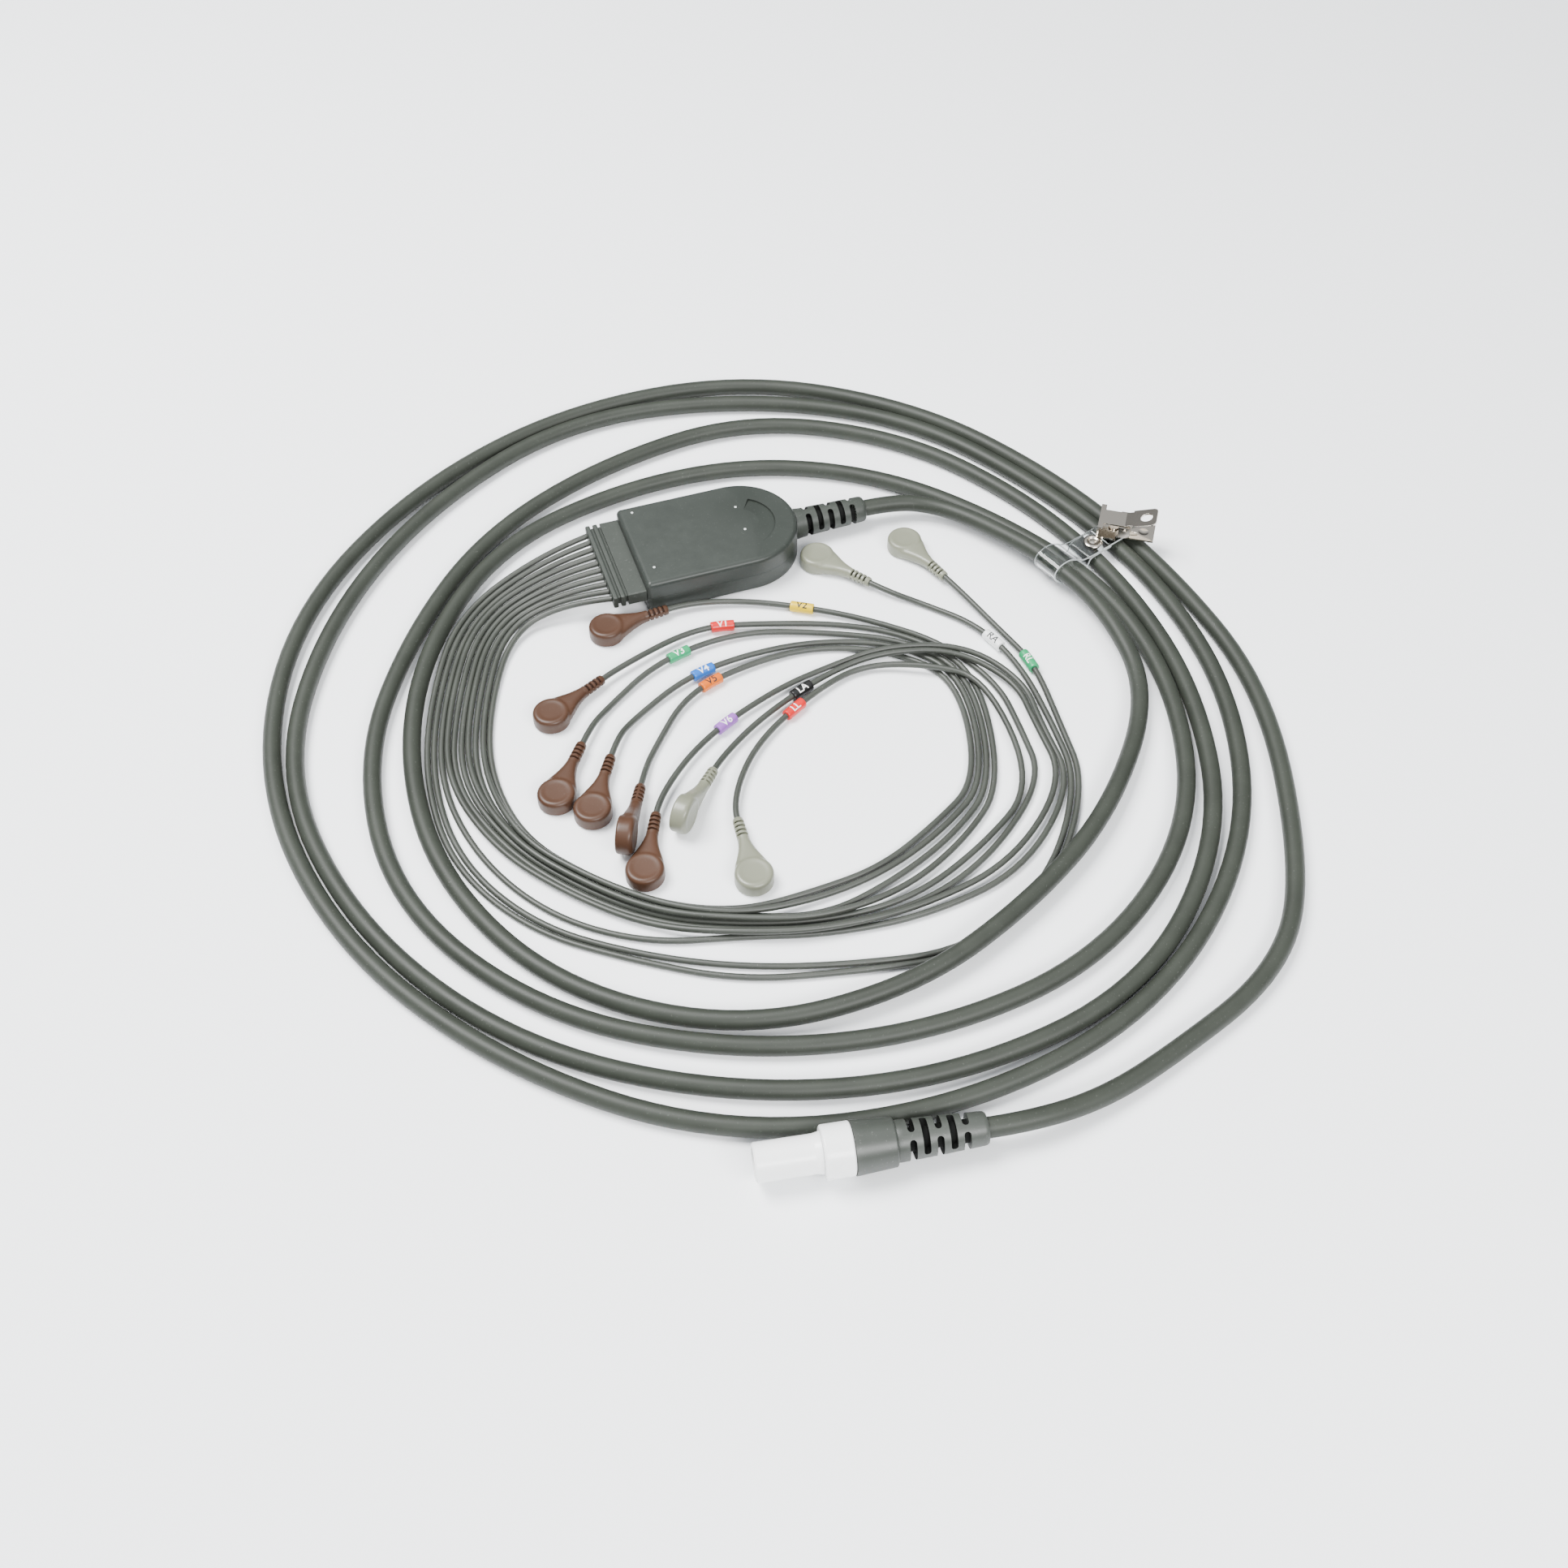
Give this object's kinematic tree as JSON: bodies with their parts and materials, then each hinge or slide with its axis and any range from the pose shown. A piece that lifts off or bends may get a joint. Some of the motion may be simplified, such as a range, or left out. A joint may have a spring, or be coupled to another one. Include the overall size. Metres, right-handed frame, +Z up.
{
  "type": "ecg_patient_cable",
  "caption": "ECG patient cable: flat junction yoke with snap-ended leads, long coiled trunk cable, round recorder plug and a strap-mounted garment clip.",
  "frame": {"origin": "centre of the underside of the junction yoke with its lead comb", "axes": "+X along the yoke from its lead comb towards its trunk cable, +Z up off the table"},
  "size_m": [0.38, 0.4089, 0.0201],
  "materials": {
    "housing_grey": "fine satin",
    "pip_pale": "satin",
    "board_green": "solder mask",
    "resistor_black": "matte",
    "pin_brass": "gold plated",
    "cable_grey": "satin",
    "lead_grey": "satin",
    "nickel": "bright plated",
    "plug_white": "satin gloss",
    "plug_grey": "satin",
    "insulator_grey": "matte",
    "snap_brown": "soft gloss",
    "snap_grey": "soft gloss",
    "clear_vinyl": "clear flexible vinyl",
    "sleeve_red": "soft gloss",
    "sleeve_yellow": "soft gloss",
    "sleeve_green": "soft gloss",
    "sleeve_blue": "soft gloss",
    "sleeve_orange": "soft gloss",
    "sleeve_purple": "soft gloss",
    "sleeve_white": "soft gloss",
    "sleeve_black": "soft gloss"
  },
  "bodies": {
    "harness": {"yoke_top_shell": "housing_grey", "yoke_bottom_shell": "housing_grey", "top_pips": "pip_pale", "junction_board": "board_green", "protection_resistors": "resistor_black", "lead_pins": "pin_brass", "trunk_pins": "pin_brass", "lead_comb": "cable_grey", "trunk_relief": "cable_grey", "trunk_tail": "cable_grey", "crimp_ferrule": "nickel", "trunk_cable": "cable_grey", "plug_nose": "plug_white", "plug_collar": "plug_white", "plug_body": "plug_grey", "plug_relief": "plug_grey", "plug_insulator": "insulator_grey", "plug_contacts": "pin_brass", "lead_v5": "lead_grey", "lead_v4": "lead_grey", "lead_v3": "lead_grey", "lead_v1": "lead_grey", "lead_ll": "lead_grey", "lead_v2": "lead_grey", "lead_la": "lead_grey", "lead_v6": "lead_grey", "lead_ra": "lead_grey", "lead_rl": "lead_grey", "snap_v5": "snap_brown", "snap_v4": "snap_brown", "snap_v3": "snap_brown", "snap_v1": "snap_brown", "snap_ll": "snap_grey", "snap_v2": "snap_brown", "snap_la": "snap_grey", "snap_v6": "snap_brown", "snap_ra": "snap_grey", "snap_rl": "snap_grey", "snap_contacts": "nickel", "sleeve_v5": "sleeve_orange", "sleeve_v4": "sleeve_blue", "sleeve_v3": "sleeve_green", "sleeve_v1": "sleeve_red", "sleeve_ll": "sleeve_red", "sleeve_v2": "sleeve_yellow", "sleeve_la": "sleeve_black", "sleeve_v6": "sleeve_purple", "sleeve_ra": "sleeve_white", "sleeve_rl": "sleeve_green", "clip_strap": "clear_vinyl", "stud_cap": "nickel", "stud_socket": "nickel", "clip_rivet": "nickel"},
    "clip_frame": {"clip_base": "nickel", "clip_pin": "nickel", "clip_spring": "nickel"},
    "clip_lever": {"clip_lever": "nickel"}
  },
  "joints": [
    {"name": "clip_swivel", "type": "hinge", "parent": "harness", "child": "clip_frame", "pos_m": [0.168, -0.04766, 0.0099], "axis": [0, 0, 1], "range_deg": [-80, 80]},
    {"name": "clip_jaw", "type": "hinge", "parent": "clip_frame", "child": "clip_lever", "pos_m": [0.17186, -0.05017, 0.0132], "axis": [0.5446, 0.8387, 0], "range_deg": [0, 20], "stiffness_Nm_per_rad": 0.02, "springref_deg": -11.46}
  ]
}
